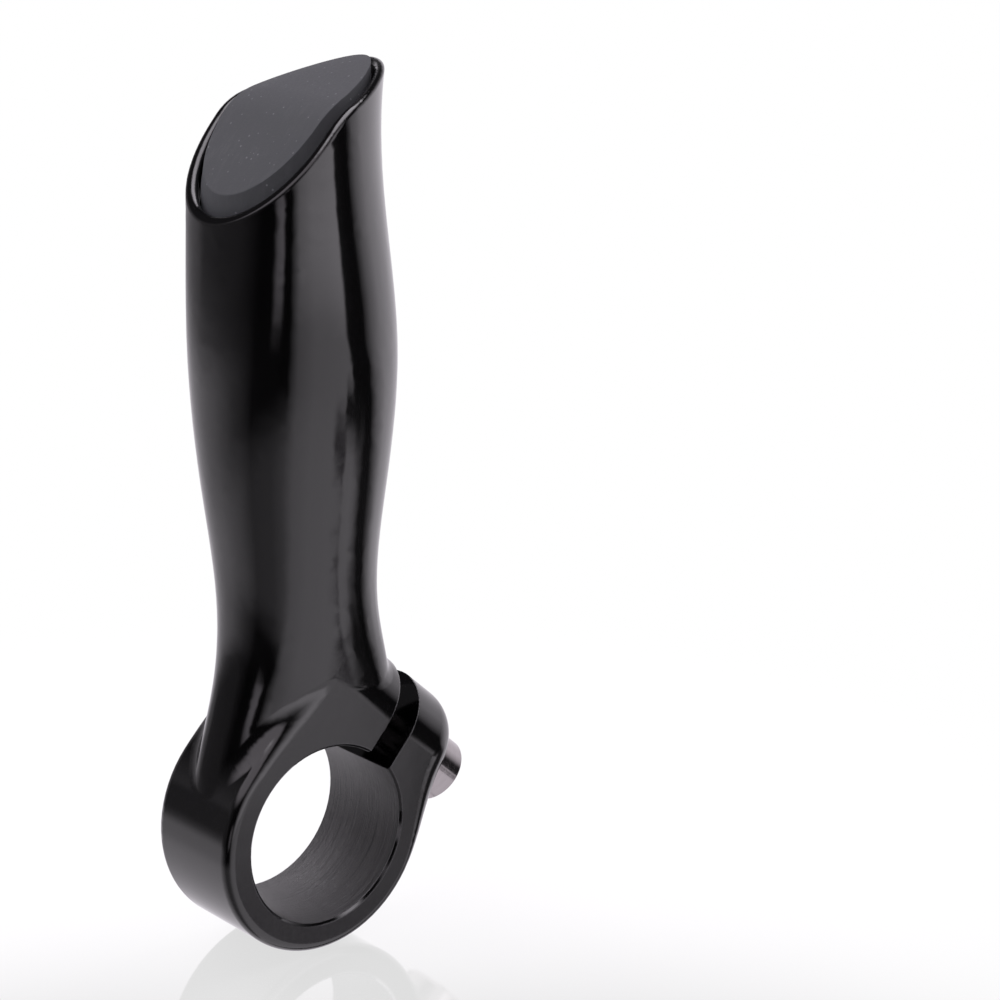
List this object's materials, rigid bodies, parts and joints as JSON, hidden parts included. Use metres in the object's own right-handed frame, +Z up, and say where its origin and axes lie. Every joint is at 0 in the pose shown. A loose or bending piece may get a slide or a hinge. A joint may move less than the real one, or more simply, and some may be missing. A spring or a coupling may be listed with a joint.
{
  "type": "bicycle bar end",
  "caption": "Short sculpted handlebar end: an egg-shaped arm on a split clamp ring with a rounded lug, a socket-head clamp bolt and a soft plug in the sloped open end.",
  "frame": {"origin": "middle of the handlebar bore", "axes": "+Y along the bore, +Z up the arm to its open end, +X to the side with the lug and bolt"},
  "size_m": [0.0402, 0.0228, 0.1064],
  "materials": {
    "black_alloy": "gloss black anodised",
    "bright_steel": "bright plated",
    "soft_rubber": "matt, finely speckled"
  },
  "bodies": {
    "bar_end": {"arm_body": "black_alloy", "end_plug": "soft_rubber"},
    "bolt": {"clamp_bolt": "bright_steel"}
  },
  "joints": [
    {"name": "bolt_turn", "type": "hinge", "parent": "bar_end", "child": "bolt", "pos_m": [0.01915, 0, 0.00348], "axis": [0.7431, 0, -0.6691], "continuous": true}
  ]
}
